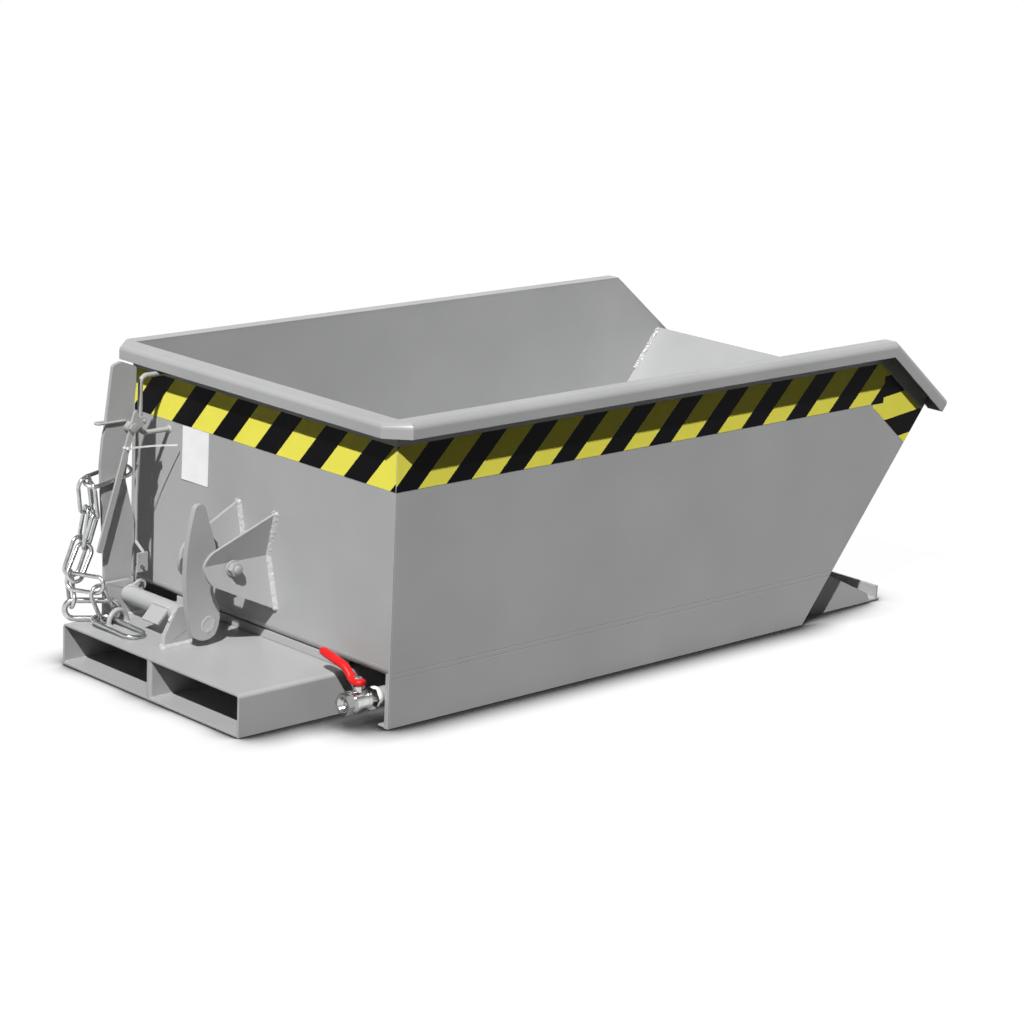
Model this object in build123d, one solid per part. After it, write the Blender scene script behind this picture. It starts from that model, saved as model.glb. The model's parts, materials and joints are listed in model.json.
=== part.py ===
import math
import os

from build123d import *

os.makedirs("parts", exist_ok=True)

# Base with fork pockets, x from its rear face
base_half = 330.0
base_high = 100.0
base_plate = 6.0
base_bend = 10.0
pocket_end = 1560.0
divider_half = 9.0
divider_plate = 5.0

# Nose in front of the pockets
nose_half = 439.0
nose_plate = 8.0
nose_toe = 2039.0
nose_lip_x = 2024.0
nose_lip_high = 40.0

# Tub
sheet = 4.0
rear_x = 304.0
tub_half = 480.0
floor_z = 121.0
tub_bend = 20.0
wall_foot_z = 143.0
skirt_z = 1.0
foot_wide = 37.0
corner_wide = 12.5

# Rim
rim_top = 711.0
rim_out = 45.0
rim_high = 37.0
rim_bend = 16.0
rim_chamfer = 50.0
rim_turn_x = 1940.0
slope_deg = 51.0
panel_front_s = 254.5
plate_outer_s = 236.4
plate_lip_n = 14.0
rim_end_s = 277.0

# Tipping hinge
tip_x = 1785.0
tip_z = 92.0
tip_pin_r = 12.0
running_gap = 0.05

# Latch shaft and its hook
latch_x = 164.0
latch_z = 152.0
tube_r = 21.2
tube_bore_r = 16.0
hook_thick = 15.0
catch_x = 192.0
catch_z = 294.0
catch_r = 10.0

# Release lever and pull rod
lever_x = 170.0
lever_z = 553.0
lever_near_y = 298.0
lever_thick = 6.0
lever_bolt_r = 8.0
rod_x = 203.0
rod_z = 566.0
rod_r = 4.0
post_near_y = 316.0
post_far_y = 326.0

# Chain
wire_r = 5.0
link_inner = 86.0
link_out_wide = 48.0

# Drain
drain_y = -430.0
drain_z = 64.0
pipe_r = 21.2
pipe_bore_r = 18.0
stem_x = 256.0
stem_r = 6.0

slope = math.radians(slope_deg)
along = (math.sin(slope), -math.cos(slope))
inward = (-math.cos(slope), -math.sin(slope))
tip_end_x = rim_turn_x + rim_end_s * along[0]
shift_x = -tip_end_x / 2


def slanted(s, n):
    x = rim_turn_x + s * along[0] + n * inward[0]
    z = rim_top + s * along[1] + n * inward[1]
    return (x, z)


def at_height(s, z):
    n = (z - rim_top - s * along[1]) / inward[1]
    return slanted(s, n)


def save(name, shape):
    export_step(Location((shift_x, 0, 0)) * shape, f"parts/{name}.step")


def save_pair(name, right):
    save(f"{name}_right", right)
    save(f"{name}_left", mirror(right, about=Plane.XZ))


def outline(points):
    return make_face(Polyline(*points, close=True))


def across_y(face, y0, y1):
    return extrude(Plane.XZ.offset(-y1) * face, y1 - y0)


def across_x(face, x0, x1):
    return extrude(Plane.YZ.offset(x0) * face, x1 - x0)


def across_z(face, z0, z1):
    return extrude(Plane.XY.offset(z0) * face, z1 - z0)


def block(x0, x1, y0, y1, z0, z1):
    centre = ((x0 + x1) / 2, (y0 + y1) / 2, (z0 + z1) / 2)
    return Pos(*centre) * Box(x1 - x0, y1 - y0, z1 - z0)


def rod_y(x, z, r, y0, y1):
    return across_y(Pos(x, z) * Circle(r), y0, y1)


def bent_rod(points, bend, r):
    path = FilletPolyline(*points, radius=bend)
    return sweep((path ^ 0) * Circle(r), path=path)


def trimmed(shape, origin, away):
    far_side = Plane(origin=origin, z_dir=away) * Pos(0, 0, 2500) * Box(5000, 5000, 5000)
    return shape - far_side


def near_corner(sketch, point):
    return sketch.vertices().sort_by_distance((point[0], point[1], 0))[0]


# Pocket box: folded cover, floor strip and the folded divider between the pockets
cover_out = outline([(-base_half, 0), (-base_half, base_high), (base_half, base_high), (base_half, 0)])
for side in (-1, 1):
    cover_out = fillet(near_corner(cover_out, (side * base_half, base_high)), base_bend)
pocket_half = base_half - base_plate
pocket_top = base_high - base_plate
cover_in = outline([(-pocket_half, 0), (-pocket_half, pocket_top), (pocket_half, pocket_top),
                    (pocket_half, 0)])
for side in (-1, 1):
    cover_in = fillet(near_corner(cover_in, (side * pocket_half, pocket_top)), base_bend - base_plate)
save("pocket_cover", across_x(cover_out - cover_in, 0, pocket_end))
save("pocket_bottom", block(0, pocket_end, -pocket_half, pocket_half, 0, base_plate))

divider_in = divider_half - divider_plate
divider = outline([(0, -divider_half), (0, divider_half), (pocket_end, divider_half),
                   (pocket_end, -divider_half)])
for side in (-1, 1):
    divider = fillet(near_corner(divider, (0, side * divider_half)), 7)
divider -= outline([(divider_plate, -divider_in), (divider_plate, divider_in), (pocket_end, divider_in),
                    (pocket_end, -divider_in)])
save("pocket_divider", across_z(divider, base_plate, pocket_top))

# Nose: end plate, floor with a turned up lip, side plates and hinge pins
end_plate_x = pocket_end + nose_plate
save("pocket_end_plate", block(pocket_end, end_plate_x, -nose_half, nose_half, base_plate, base_high))
nose_floor = block(pocket_end, nose_toe, -nose_half, nose_half, 0, base_plate)
nose_floor += block(nose_lip_x, nose_lip_x + 8, -nose_half, nose_half, base_plate, nose_lip_high)
save("nose_floor", nose_floor)
nose_side = outline([(end_plate_x, base_plate), (end_plate_x, 104), (1760, 114), (1795, 116), (1987.5, 26),
                     (2000, base_plate)])
nose_side -= Pos(tip_x, tip_z) * Circle(tip_pin_r)
save_pair("nose_side", across_y(nose_side, -nose_half, nose_plate - nose_half))
hinge_pin = rod_y(tip_x, tip_z, tip_pin_r, -nose_half, -414)
hinge_pin += rod_y(tip_x, tip_z, 18, -nose_half - 6, -nose_half)
save_pair("hinge_pin", hinge_pin)

# Brackets of the latch shaft
shaft_hole = Pos(latch_x, latch_z) * Circle(tube_r + running_gap)
inner_bracket = outline([(75, base_high), (76, 128), (112, 190), (172, 192), (198, 172), (204, base_high)])
save("shaft_bracket_inner", across_y(inner_bracket - shaft_hole, 40, 52))
outer_bracket = outline([(94, base_high), (94, 188), (166, 188), (188, 172), (204, 140), (204, base_high)])
save("shaft_bracket_outer", across_y(outer_bracket - shaft_hole, 298, 308))

# Upright post with the lever bolt and a strap around it
post = outline([(108, base_high), (108, 221), (93, 465), (99, 529), (105, 552), (125, 702), (149, 710),
                (192, 694), (192, 653), (172, 483), (164, 427), (191, 325), (185, 226), (185, base_high)])
for corner in ((125, 702), (149, 710), (192, 694)):
    post = fillet(near_corner(post, corner), 8)
for corner in ((164, 427), (191, 325)):
    post = fillet(near_corner(post, corner), 40)
post -= Pos(lever_x, lever_z) * Circle(lever_bolt_r)
save("mast_post", across_y(post, post_near_y, post_far_y))
lever_far_y = lever_near_y + lever_thick
lever_bolt = rod_y(lever_x, lever_z, lever_bolt_r, lever_near_y - 0.5, post_far_y + 10)
lever_bolt += across_y(Pos(lever_x, lever_z) * RegularPolygon(12, 6), lever_near_y - 8, lever_near_y - 0.5)
lever_bolt += rod_y(lever_x, lever_z, 13, lever_far_y + 0.5, post_near_y)
lever_bolt += across_y(Pos(lever_x, lever_z) * RegularPolygon(12, 6), post_far_y, post_far_y + 8)
save("lever_bolt", lever_bolt)
strap_points = [(159, post_near_y - 3, 569), (82, post_near_y - 3, 569), (82, post_far_y + 3, 569),
                (159, post_far_y + 3, 569)]
save("post_strap", bent_rod(strap_points, 6, 3))

# Closed rings and links: a straight side and an end bow, made twice
def ring(out_long, out_wide, r, centre, axis, normal):
    bow = out_wide / 2 - r
    half = out_long / 2 - r - bow
    profile = Plane(origin=(-half, -bow, 0), x_dir=(0, 1, 0), z_dir=(1, 0, 0)) * Circle(r)
    straight = extrude(profile, 2 * half)
    end_profile = Plane(origin=(half, -bow, 0), x_dir=(0, 1, 0), z_dir=(1, 0, 0)) * Circle(r)
    half_ring = straight + revolve(end_profile, Axis((half, 0, 0), (0, 0, 1)), 180)
    whole = half_ring + Rot(0, 0, 180) * half_ring
    return Plane(origin=centre, x_dir=axis, z_dir=normal) * whole


def strand(links):
    rings = []
    for start, end, facing in links:
        axis = (Vector(*end) - Vector(*start)).normalized()
        middle = (Vector(*start) + Vector(*end)) * 0.5
        facing = Vector(*facing)
        facing = facing - axis * facing.dot(axis)
        rings.append(ring(link_inner + 4 * wire_r, link_out_wide, wire_r, middle, axis, facing))
    return Compound(children=rings)


# Eye on the base with the oblong ring in it and an upright link
eye_half = 27.1
eye_high = 33.5
eye_side = Vector(0.995, 0.1, 0)
eye_foot = Vector(100, 252.75, base_high)
eye_rise = Vector(0, 0, eye_high)
eye_points = [eye_foot - eye_side * eye_half, eye_foot - eye_side * eye_half + eye_rise,
              eye_foot + eye_side * eye_half + eye_rise, eye_foot + eye_side * eye_half]
save("ring_eye", bent_rod(eye_points, eye_half - 0.1, 6))
oblong_start = Vector(57.5, 279, 118.2)
oblong_stop = Vector(71.5, 128, 105.1)
oblong_axis = (oblong_stop - oblong_start).normalized()
oblong_centre = (oblong_start + oblong_stop) * 0.5
save("oblong_ring", ring(162.2, 64, wire_r, oblong_centre, oblong_axis, oblong_axis.cross(eye_side)))
upright_lean = Vector(-0.405, 0.048, 0.913).normalized()
upright_facing = upright_lean.cross(Vector(0.911, -0.075, 0.405))
save("upright_link", ring(105, 50, wire_r, (68.6, 268.8, 150.5), upright_lean, upright_facing))

# Long ring around the post with two strands hanging from it, and the end ring leaning on the bracket
post_ring_axis = Vector(-0.986, 0, -0.165)
save("chain_top_ring", ring(138, 52, wire_r, (122.5, 330.25, 437.7), post_ring_axis, (0.152, 0.395, -0.908)))
near_strand = [((66.2, 314.6, 427.8), (90, 332.3, 346.3), (0.939, -0.268, 0.216)),
               ((90, 332.3, 346.3), (75, 345.5, 272), (0.514, -0.821, -0.25)),
               ((75, 345.5, 272), (26.3, 329.3, 202.4), (-0.194, -0.917, 0.349)),
               ((21.4, 339.2, 196.9), (59.3, 262, 196.6), (-0.871, -0.428, 0.242))]
save("chain_short", strand(near_strand))
far_strand = [((58.4, 334.5, 435.8), (83, 357, 355), (0.171, -0.961, -0.216)),
              ((83, 357, 355), (89.5, 384.5, 277.7), (0.939, -0.341, -0.042)),
              ((89.5, 384.5, 277.7), (53.8, 381, 199), (-0.137, -0.985, 0.106)),
              ((53.7, 384.5, 198.1), (24.5, 327.8, 142.6), (0.928, -0.348, -0.132))]
save("chain_long", strand(far_strand))
end_axis = Vector(0.823, -0.568, 0)
end_facing = end_axis.cross(Vector(0.062, 0.09, 0.994))
save("end_ring", ring(140, 57, 7, (63.4, 305, 128.4), end_axis, end_facing))

# Tub sheet: floor bent up into the front plate
floor_outer = at_height(plate_outer_s, floor_z)
plate_inner_s = plate_outer_s - sheet
floor_inner = at_height(plate_inner_s, floor_z + sheet)
lip_outer = slanted(plate_outer_s, plate_lip_n)
lip_inner = slanted(plate_inner_s, plate_lip_n)
tub = outline([(rear_x, wall_foot_z), (rear_x, floor_z), floor_outer, lip_outer, lip_inner, floor_inner,
               (rear_x + sheet, floor_z + sheet), (rear_x + sheet, wall_foot_z)])
for corner, bend in (((rear_x, floor_z), tub_bend), ((rear_x + sheet, floor_z + sheet), tub_bend - sheet),
                     (floor_outer, 12), (floor_inner, 8)):
    tub = fillet(near_corner(tub, corner), bend)
tub_in = tub_half - sheet
drain_top_x = 430.0
tub_sheet = across_y(tub, -tub_in, tub_in)
tub_sheet -= Pos(drain_top_x, drain_y, floor_z) * Cylinder(pipe_bore_r, 20)
save("tub_sheet", tub_sheet)

# Rear wall, side panels, their turned edges
wall_top = rim_top - sheet
corner_in = tub_half - corner_wide
save("rear_wall", block(rear_x, rear_x + sheet, -corner_in, corner_in, wall_foot_z, wall_top))
panel_bottom = at_height(panel_front_s, skirt_z)
panel_turn = (rim_turn_x - sheet * math.tan((math.pi / 2 - slope) / 2), wall_top)
panel = outline([(rear_x + sheet, skirt_z), panel_bottom, slanted(panel_front_s, sheet), panel_turn,
                 (rear_x + sheet, wall_top)])
save_pair("side_panel", across_y(panel, -tub_half, -tub_in))
edge = block(rear_x, rear_x + sheet, -tub_half, -tub_in, skirt_z, wall_top)
edge += block(rear_x, rear_x + sheet, -tub_in, -corner_in, wall_foot_z, wall_top)
edge += block(rear_x, rear_x + sheet, -tub_in, -corner_in, skirt_z, floor_z + 7.5)
edge += block(rear_x + sheet, panel_bottom[0] - 6, -tub_in, -tub_half + foot_wide, skirt_z, skirt_z + sheet)
save_pair("skirt_edge", edge)

# Rim: folded flange with a lip, mitred at the bends
def rim_section(inner):
    face = outline([(inner, -sheet), (inner, 0), (rim_out, 0), (rim_out, -rim_high),
                    (rim_out - sheet, -rim_high), (rim_out - sheet, -sheet)])
    face = fillet(near_corner(face, (rim_out, 0)), rim_bend)
    return fillet(near_corner(face, (rim_out - sheet, -sheet)), rim_bend - sheet)


out_x = rear_x - rim_out
out_y = -tub_half - rim_out
corner_a = (out_x, out_y + rim_chamfer, 0)
corner_b = (out_x + rim_chamfer, out_y, 0)
bisect = math.radians(22.5)
cut_a = (math.sin(bisect), -math.cos(bisect), 0)
cut_b = (-math.cos(bisect), math.sin(bisect), 0)
turn = (rim_turn_x, 0, rim_top)
turn_cut = (1 + along[0], 0, along[1])
rear_plane = Plane(origin=(rear_x, -560, rim_top), x_dir=(-1, 0, 0), z_dir=(0, 1, 0))
rim_rear = extrude(rear_plane * rim_section(-sheet), 1120)
rim_rear = trimmed(rim_rear, corner_a, cut_a)
rim_rear = trimmed(rim_rear, (corner_a[0], -corner_a[1], 0), (cut_a[0], -cut_a[1], 0))

side_plane = Plane(origin=(2000, -tub_half, rim_top), x_dir=(0, -1, 0), z_dir=(-1, 0, 0))
rim_side = extrude(side_plane * rim_section(-sheet), 1760)
rim_side = trimmed(rim_side, corner_b, cut_b)
rim_side = trimmed(rim_side, turn, turn_cut)
save_pair("rim_side", rim_side)

chamfer_mid = ((corner_a[0] + corner_b[0]) / 2, (corner_a[1] + corner_b[1]) / 2)
chamfer_plane = Plane(origin=(chamfer_mid[0] + rim_out * math.sqrt(0.5) + 50 * math.sqrt(0.5),
                              chamfer_mid[1] + rim_out * math.sqrt(0.5) - 50 * math.sqrt(0.5), rim_top),
                      x_dir=(-1, -1, 0), z_dir=(-1, 1, 0))
rim_corner = extrude(chamfer_plane * rim_section(-40), 100)
inner_a = (rear_x + sheet, corner_a[1] + (rear_x + sheet - corner_a[0]) * math.tan(bisect))
inner_b = (corner_b[0] + (-tub_in - corner_b[1]) * math.tan(bisect), -tub_in)
corner_shape = outline([corner_a[:2], corner_b[:2], inner_b, (rear_x + sheet, -tub_in), inner_a])
rim_corner &= across_z(corner_shape, rim_top - 60, rim_top + 1)
save("rim_rear", rim_rear + rim_corner + mirror(rim_corner, about=Plane.XZ))

end_x, end_z = slanted(rim_end_s, 0)
slant_plane = Plane(origin=(end_x, -tub_half, end_z), x_dir=(0, -1, 0), z_dir=(-along[0], 0, -along[1]))
rim_slant = extrude(slant_plane * rim_section(-sheet), rim_end_s + 60)
rim_slant = trimmed(rim_slant, turn, (-turn_cut[0], 0, -turn_cut[2]))
end_cap = outline([(-sheet, -rim_high), (-sheet, 0), (rim_out, 0), (rim_out, -rim_high)])
end_cap = fillet(near_corner(end_cap, (rim_out, 0)), rim_bend)
rim_slant += extrude(slant_plane * end_cap, sheet)
save_pair("rim_slant", rim_slant)

# Rest bars under the floor and the hinge lugs
rest_top = floor_z
rest_bottom = base_high + 0.5
save("rest_bar_rear", block(rear_x + 7, rear_x + 37, -303, 303, rest_bottom, rest_top))
save("rest_bar_front", block(1480, 1510, -303, 303, rest_bottom, rest_top))
lug = outline([(1640, floor_z), floor_outer, at_height(plate_outer_s, 230), (tip_x + 25, tip_z + 8),
               (tip_x - 8, tip_z - 25)])
lug += Pos(tip_x, tip_z) * Circle(26)
lug -= Pos(tip_x, tip_z) * Circle(tip_pin_r + running_gap)
save_pair("hinge_lug", across_y(lug, -429, -417))

# Folded ears on the rear wall with the catch bolt between them
ear_fold_z = 306.0
ear_plate = 8.0
ear_across = ear_plate * 1.03
ear_fold = [(-75, 418), (-48, ear_fold_z), (-82, 174), (-82 + ear_across, 174),
            (-48 + ear_across, ear_fold_z), (-75 + ear_across, 418)]
ear_side = make_face([Line((rear_x, 410), (138, 337)),
                      ThreePointArc((138, 337), (118, 296), (140, 257)),
                      Line((140, 257), (rear_x, 182)),
                      Line((rear_x, 182), (rear_x, 410))])
ear_side -= Pos(catch_x, catch_z) * Circle(catch_r)
ear = across_x(outline(ear_fold), 100, rear_x) & across_y(ear_side, -120, 0)
save_pair("catch_ear", ear)
bolt_seat = 56.0
nut_seat = -60.0
nut_face = RegularPolygon(17, 6)
catch_bolt = rod_y(catch_x, catch_z, catch_r, nut_seat - 21, bolt_seat)
catch_bolt += across_y(Pos(catch_x, catch_z) * nut_face, bolt_seat, bolt_seat + 12)
save("catch_bolt", catch_bolt)
catch_nut = across_y(Pos(catch_x, catch_z) * (nut_face - Circle(catch_r)), nut_seat - 15, nut_seat)
catch_nut += across_y(Pos(catch_x, catch_z) * (Circle(19) - Circle(catch_r)), nut_seat, -bolt_seat)
save("catch_nut", catch_nut)

# Grab handle on the rear wall
grab_points = [(rear_x, 335, 664), (218, 335, 664), (218, 335, 526), (rear_x, 335, 526)]
save("grab_handle", bent_rod(grab_points, 18, 6))

# Drain pipe with its elbow and the ball valve
pipe_end_x = 300.0
pipe_path = FilletPolyline((pipe_end_x, drain_y, drain_z), (drain_top_x, drain_y, drain_z),
                           (drain_top_x, drain_y, floor_z), radius=45)
pipe = sweep((pipe_path ^ 0) * Circle(pipe_r), path=pipe_path)
pipe -= sweep((pipe_path ^ 0) * Circle(pipe_bore_r), path=pipe_path)
save("drain_pipe", pipe)
hex_plane = Plane(origin=(212, drain_y, drain_z), x_dir=(0, 1, 0), z_dir=(1, 0, 0))
valve = extrude(hex_plane * RegularPolygon(26, 6), 20)
valve += extrude(hex_plane * Circle(22.5), 88)
valve += extrude(hex_plane.offset(24) * Circle(26), 40)
for collar_start in (24, 59):
    valve += extrude(hex_plane.offset(collar_start) * Circle(27.5), 5)
valve += extrude(hex_plane.offset(70) * RegularPolygon(26, 6), 18)
valve += Pos(stem_x, drain_y, drain_z + 26) * Cylinder(11, 20)
valve -= extrude(hex_plane * Circle(18), 20)
valve -= extrude(hex_plane * Circle(15), 88)
valve -= Pos(stem_x, drain_y, drain_z) * Sphere(20)
valve -= Pos(stem_x, drain_y, drain_z + 26) * Cylinder(stem_r + running_gap, 24)
save("valve_body", valve)
ball = Sphere(19) - Rot(90, 0, 0) * Cylinder(15, 50)
stem_ball = Pos(stem_x, drain_y, drain_z) * ball
stem_top_z = 121.0
stem_foot_z = drain_z + 16
stem_ball += across_z(Pos(stem_x, drain_y) * Circle(stem_r), stem_foot_z, stem_top_z)
save("valve_stem", stem_ball)
handle_z = 108.5
handle_thick = 15.0
handle_path = FilletPolyline((stem_x, drain_y - 17, handle_z), (stem_x, drain_y + 17, handle_z),
                             (stem_x, -383, 135), (stem_x, -301, 152), radius=16)
handle_start = Plane(origin=(stem_x, drain_y - 17, handle_z), x_dir=(1, 0, 0), z_dir=(0, 1, 0))
valve_lever = sweep(handle_start * RectangleRounded(22, handle_thick, 6), path=handle_path)
valve_lever -= Pos(stem_x, drain_y, handle_z) * Cylinder(stem_r, 30)
save("valve_lever", valve_lever)
handle_top = handle_z + handle_thick / 2
stem_nut = Pos(stem_x, drain_y) * (RegularPolygon(10, 6) - Circle(stem_r))
valve_nut = across_z(stem_nut, handle_top, handle_top + 6)
save("valve_nut", valve_nut)

# Warning tape on three sides and the blank card on the rear wall
tape_low = 547.0
tape_high = 650.0
film = 0.6
save("tape_rear", block(rear_x - film, rear_x, 1 - tub_half, 470, tape_low, tape_high))
tape_split = (slanted(30, 55), slanted(85, 155))
tape = outline([(rear_x + 1, tape_low), (1911, tape_low), (1929, tape_high), (rear_x + 1, tape_high)])
tape += outline([tape_split[0], tape_split[1], slanted(panel_front_s - 1, 155),
                 slanted(panel_front_s - 1, 55)])
save_pair("tape_side", across_y(tape, -tub_half - film, -tub_half))
save("paper_card", block(rear_x - 1, rear_x, 182, 281, 416, tape_low - 1))

# Latch shaft: tube, hook, pedal and lug
tube = rod_y(latch_x, latch_z, tube_r, hook_thick / 2, 310)
tube -= rod_y(latch_x, latch_z, tube_bore_r, hook_thick / 2, 310)
save("latch_tube", tube)
hook = make_face([ThreePointArc((117, 136), (98, 265), (121, 430)),
                  ThreePointArc((121, 430), (136, 441), (150, 432)),
                  Line((150, 432), (179, 344)),
                  ThreePointArc((179, 344), (181.5, 329), (178, 316)),
                  Line((178, 316), (167, 306)),
                  ThreePointArc((167, 306), (163, 292), (166, 272)),
                  Line((166, 272), (181, 216)),
                  ThreePointArc((181, 216), (197, 168), (184, 125)),
                  ThreePointArc((184, 125), (150, 116), (117, 136))])
save("latch_hook", across_y(hook, -hook_thick / 2, hook_thick / 2))
tube_space = Pos(latch_x, latch_z) * Circle(tube_r)
pedal = outline([(150, 167), (113, 130), (117.2, 125.8), (154.2, 162.8)])
save("latch_pedal", across_y(pedal - tube_space, 118, 178))
lug_x, lug_z = 192.0, 172.0
shaft_lug = outline([(latch_x, latch_z), (latch_x - 4, latch_z + 20), (lug_x - 4, lug_z + 13),
                     (lug_x + 12, lug_z - 6), (latch_x + 20, latch_z - 6)])
shaft_lug += Pos(lug_x, lug_z) * Circle(13.5)
shaft_lug -= tube_space
shaft_lug -= Pos(lug_x, lug_z) * Circle(8)
save("latch_lug", across_y(shaft_lug, 284, 292))

# Release lever with a front arm, the pull rod and its wire hook
lever_face = outline([(176, 592), (189, 587), (88, 261), (73, 266)])
lever_face = fillet(lever_face.vertices(), 6)
lever_face += Pos(lever_x, lever_z) * Circle(13)
lever_face += outline([(lever_x + 5, lever_z + 20), (rod_x - 2, rod_z + 9), (rod_x + 3, rod_z - 8.5),
                       (lever_x + 2, lever_z - 12)])
lever_face += Pos(rod_x, rod_z) * Circle(9)
lever_face -= Pos(lever_x, lever_z) * Circle(lever_bolt_r + running_gap)
lever_face -= Pos(rod_x, rod_z) * Circle(rod_r + running_gap)
save("release_lever", across_y(lever_face, lever_near_y, lever_far_y))
pull_points = [(rod_x, lever_near_y - 6, rod_z), (rod_x, 325, rod_z), (rod_x, 325, 268), (rod_x, 293.5, 248),
               (rod_x, 293.5, 224)]
pull_rod = bent_rod(pull_points, 8, rod_r)
rod_plate = outline([(lug_x - 12, 204), (lug_x - 12, 250), (lug_x + 17, 250), (lug_x + 17, 204)])
rod_plate -= Pos(lug_x, 216) * Circle(5)
pull_rod += across_y(rod_plate, 284, 290)
save("pull_rod", pull_rod)
hook_points = [(lug_x, 278, lug_z), (lug_x, 306, lug_z), (lug_x, 306, 216), (lug_x, 278, 216)]
save("wire_hook", bent_rod(hook_points, 13, 3))

# Tie on the lever
tie = block(148, 164, lever_near_y - 3, lever_near_y, 503, 507)
tie += block(160, 285, lever_near_y - 3, lever_near_y - 1.5, 503, 507)
save("cable_tie", tie)
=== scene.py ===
import json
import math

import bpy
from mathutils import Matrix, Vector, noise


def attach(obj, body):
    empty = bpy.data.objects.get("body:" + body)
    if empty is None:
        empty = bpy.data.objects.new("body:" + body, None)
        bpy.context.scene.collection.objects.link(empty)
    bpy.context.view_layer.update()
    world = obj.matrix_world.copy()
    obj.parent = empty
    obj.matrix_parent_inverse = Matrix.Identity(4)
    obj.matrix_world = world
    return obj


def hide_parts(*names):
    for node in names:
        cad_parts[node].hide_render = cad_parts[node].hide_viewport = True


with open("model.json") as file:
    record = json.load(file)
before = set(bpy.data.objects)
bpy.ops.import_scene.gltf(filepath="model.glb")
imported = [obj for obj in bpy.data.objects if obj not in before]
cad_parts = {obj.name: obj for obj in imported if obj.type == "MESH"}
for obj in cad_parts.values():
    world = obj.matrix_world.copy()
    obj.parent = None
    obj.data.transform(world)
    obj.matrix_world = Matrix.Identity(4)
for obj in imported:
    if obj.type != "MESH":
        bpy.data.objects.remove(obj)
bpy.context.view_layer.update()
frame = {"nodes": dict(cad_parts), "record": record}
nodes = frame["nodes"]
scene = bpy.context.scene
scene.view_settings.view_transform = "Standard"
print("frame loaded:", len(nodes), "nodes")

# measures that several pieces share, in the drawing's millimetres
slope = math.radians(51)  # the slanted rim, from upright
rimBend = {"x": 1940, "z": 711}  # where the side rim turns down
slantLength = 277
deckTop = 100  # top of the base
wallFace = 304  # outer face of the rear wall
panelFace = 480.0  # outer face of a side panel
floorUnder = 120.5  # seam line under the tub's floor
shaftAxis = {"x": 164, "z": 152}  # latch shaft
valveAxis = {"y": -430, "z": 64}  # drain pipe and valve
stemX = 256  # stem of the valve

# the drawing counts x from the rear face of the base, the frame from the middle of the object
originX = (rimBend["x"] + slantLength * math.sin(slope)) / 2


def at(x, y, z):
    return Vector(((x - originX) / 1000, y / 1000, z / 1000))


def onSlant(along, inward, y):
    x = rimBend["x"] + along * math.sin(slope) - inward * math.cos(slope)
    z = rimBend["z"] - along * math.cos(slope) - inward * math.sin(slope)
    return at(x, y, z)


# camera at the photograph's place
cameraSet = {"eye": (-5.1703, -5.4191, 2.2646), "target": (0.0424, 0.0, 0.275), "roll": 2.63, "lens": 109.86,
             "sensor": 36, "clipEnd": 100}


def makeCamera(look):
    data = bpy.data.cameras.new("camera")
    data.sensor_width = look["sensor"]
    data.lens = look["lens"]
    data.clip_end = look["clipEnd"]
    camera = bpy.data.objects.new("camera", data)
    scene.collection.objects.link(camera)
    back = (Vector(look["eye"]) - Vector(look["target"])).normalized()
    flat = Vector((-back.y, back.x, 0)).normalized()
    upright = back.cross(flat)
    roll = math.radians(look["roll"])
    right = math.cos(roll) * flat + math.sin(roll) * upright
    up = -math.sin(roll) * flat + math.cos(roll) * upright
    turn = camera.matrix_world.copy()
    for row in range(3):
        turn[row][0], turn[row][1], turn[row][2] = right[row], up[row], back[row]
        turn[row][3] = look["eye"][row]
    camera.matrix_world = turn
    scene.camera = camera


makeCamera(cameraSet)
print("camera set")


# node helpers for a material or the world; a socket gets a wire or a plain value
def feed(owner, socket, value):
    if isinstance(value, bpy.types.NodeSocket):
        owner.node_tree.links.new(value, socket)
    elif value is not None:
        socket.default_value = (*value, 1) if socket.type == "RGBA" else value


def put(owner, kind, **values):
    node = owner.node_tree.nodes.new("ShaderNode" + kind)
    for key, value in values.items():
        if key in node.inputs:
            feed(owner, node.inputs[key], value)
        else:
            setattr(node, key, value)
    return node


def calc(owner, operation, first, second=None):
    node = put(owner, "Math", operation=operation)
    feed(owner, node.inputs[0], first)
    feed(owner, node.inputs[1], second)
    return node.outputs[0]


def spread(owner, value, low, high, start=0.0, end=1.0):
    limits = {"From Min": start, "From Max": end, "To Min": low, "To Max": high}
    return put(owner, "MapRange", Value=value, **limits).outputs["Result"]


def startMaterial(name, metallic=0.0, specular=0.5):
    mat = bpy.data.materials.new(name)
    mat.use_nodes = True
    shader = mat.node_tree.nodes["Principled BSDF"]
    shader.inputs["Metallic"].default_value = metallic
    shader.inputs["Specular IOR Level"].default_value = specular
    return mat, shader


def objectPoint(mat):
    return put(mat, "TexCoord").outputs["Object"]


def objectAxes(mat):
    split = put(mat, "SeparateXYZ", Vector=objectPoint(mat))
    return split.outputs["X"], split.outputs["Y"], split.outputs["Z"]


def grain(mat, scale, detail=3.0, stretch=None):
    point = objectPoint(mat)
    if stretch:
        point = put(mat, "Mapping", Vector=point, Scale=stretch).outputs["Vector"]
    return put(mat, "TexNoise", Vector=point, Scale=scale, Detail=detail).outputs["Fac"]


rampStops = (0.3, 0.7)  # noise stays mostly between these


def shade(mat, fac, dark, light):
    ramp = put(mat, "ValToRGB", Fac=fac)
    for stop, position, colour in zip(ramp.color_ramp.elements, rampStops, (dark, light)):
        stop.position = position
        stop.color = (*colour, 1)
    return ramp.outputs["Color"]


def mixColour(mat, fac, first, second):
    node = put(mat, "Mix", data_type="RGBA")
    for name, value in (("Factor", fac), ("A", first), ("B", second)):
        feed(mat, [s for s in node.inputs if s.name == name and s.enabled][0], value)
    return [s for s in node.outputs if s.enabled][0]


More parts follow.
